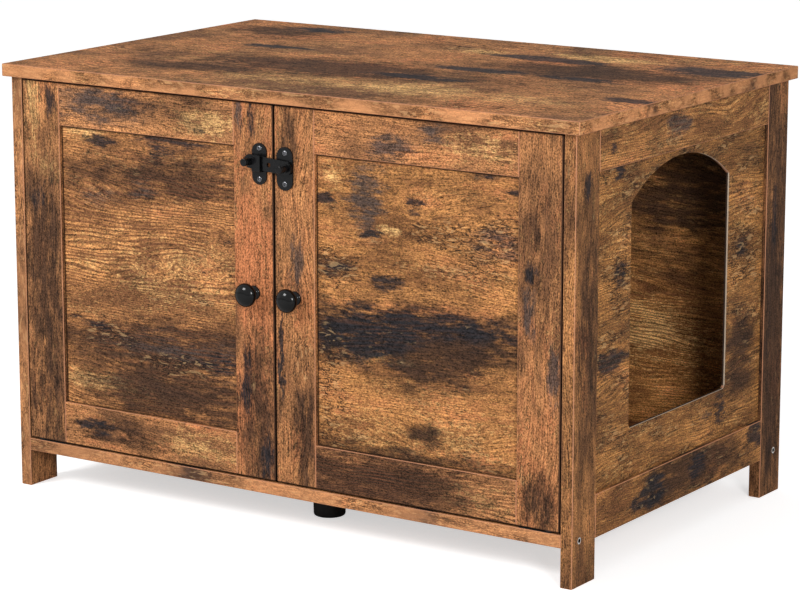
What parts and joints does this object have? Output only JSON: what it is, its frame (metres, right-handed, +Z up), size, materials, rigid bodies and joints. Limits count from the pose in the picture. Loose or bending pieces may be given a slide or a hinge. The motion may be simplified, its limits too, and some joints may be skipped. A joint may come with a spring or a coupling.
{
  "type": "cat litter box cabinet",
  "caption": "low wooden cabinet that hides a litter tray: framed walls, an arched entrance in the side, framed double doors with knobs and a drop-bar latch",
  "frame": {"origin": "on the floor, in the middle of the whole object's box", "axes": "+X along the width, to the right seen from the front; +Y to the rear; +Z up"},
  "size_m": [0.8, 0.527, 0.52],
  "materials": {
    "board_along_x": "rustic brown wood-grain laminate, satin, grain along the width",
    "board_along_y": "rustic brown wood-grain laminate, satin, grain along the depth",
    "board_upright": "rustic brown wood-grain laminate, satin, upright grain",
    "thin_panel": "rustic brown wood-grain laminate on a thin board, level grain",
    "beech_peg": "plain beech pegs",
    "black_gloss": "smooth glossy black",
    "black_satin_metal": "black satin coating on steel",
    "black_nickel_screw": "shiny black nickel screw heads",
    "black_plastic": "fine-grained matt black",
    "magnet": "dark ferrite",
    "cast_zinc": "cast zinc",
    "nylon": "black nylon",
    "zinc_steel": "zinc-plated steel"
  },
  "bodies": {
    "root": {"back_panel": "thin_panel", "bottom_dowels": "beech_peg", "bottom_panel": "board_along_x", "cam_bolts": "zinc_steel", "cam_locks": "cast_zinc", "catch_housing": "black_plastic", "catch_magnets": "magnet", "catch_screws": "zinc_steel", "centre_foot": "black_plastic", "foot_stud": "zinc_steel", "left_front_post": "board_upright", "left_lower_rail": "board_along_y", "left_pivot_plates": "black_satin_metal", "left_pivot_screws": "black_satin_metal", "left_rear_post": "board_upright", "left_side_panel": "thin_panel", "left_upper_rail": "board_along_y", "right_front_post": "board_upright", "right_lower_rail": "board_along_y", "right_pivot_plates": "black_satin_metal", "right_pivot_screws": "black_satin_metal", "right_rear_post": "board_upright", "right_side_panel": "thin_panel", "right_upper_rail": "board_along_y", "top_dowels": "beech_peg", "top_panel": "board_along_x", "wall_bolts": "zinc_steel"},
    "left_door": {"latch_keeper": "black_satin_metal", "latch_keeper_screws": "black_nickel_screw", "left_door_bushes": "nylon", "left_door_hinge_stile": "board_upright", "left_door_lock_stile": "board_upright", "left_door_lower_rail": "board_along_x", "left_door_panel": "thin_panel", "left_door_upper_rail": "board_along_x", "left_knob": "black_gloss", "left_knob_screw": "zinc_steel", "left_strike_plate": "zinc_steel", "left_strike_screw": "zinc_steel"},
    "right_door": {"latch_pivot_plate": "black_satin_metal", "latch_pivot_screws": "black_nickel_screw", "latch_pivot_stud": "black_satin_metal", "right_door_bushes": "nylon", "right_door_hinge_stile": "board_upright", "right_door_lock_stile": "board_upright", "right_door_lower_rail": "board_along_x", "right_door_panel": "thin_panel", "right_door_upper_rail": "board_along_x", "right_knob": "black_gloss", "right_knob_screw": "zinc_steel", "right_strike_plate": "zinc_steel", "right_strike_screw": "zinc_steel"},
    "latch_swing_bar": {"latch_bar": "black_satin_metal", "latch_lift_knob": "black_satin_metal"}
  },
  "joints": [
    {"name": "left_door_hinge", "type": "hinge", "parent": "root", "child": "left_door", "pos_m": [-0.35997, -0.2315, 0.2825], "axis": [0, 0, -1], "range_deg": [0, 130]},
    {"name": "right_door_hinge", "type": "hinge", "parent": "root", "child": "right_door", "pos_m": [0.35997, -0.2315, 0.2825], "axis": [0, 0, 1], "range_deg": [0, 130]},
    {"name": "latch_swing", "type": "hinge", "parent": "right_door", "child": "latch_swing_bar", "pos_m": [0.01455, -0.2385, 0.4323], "axis": [0, 1, 0], "range_deg": [0, 180]}
  ]
}
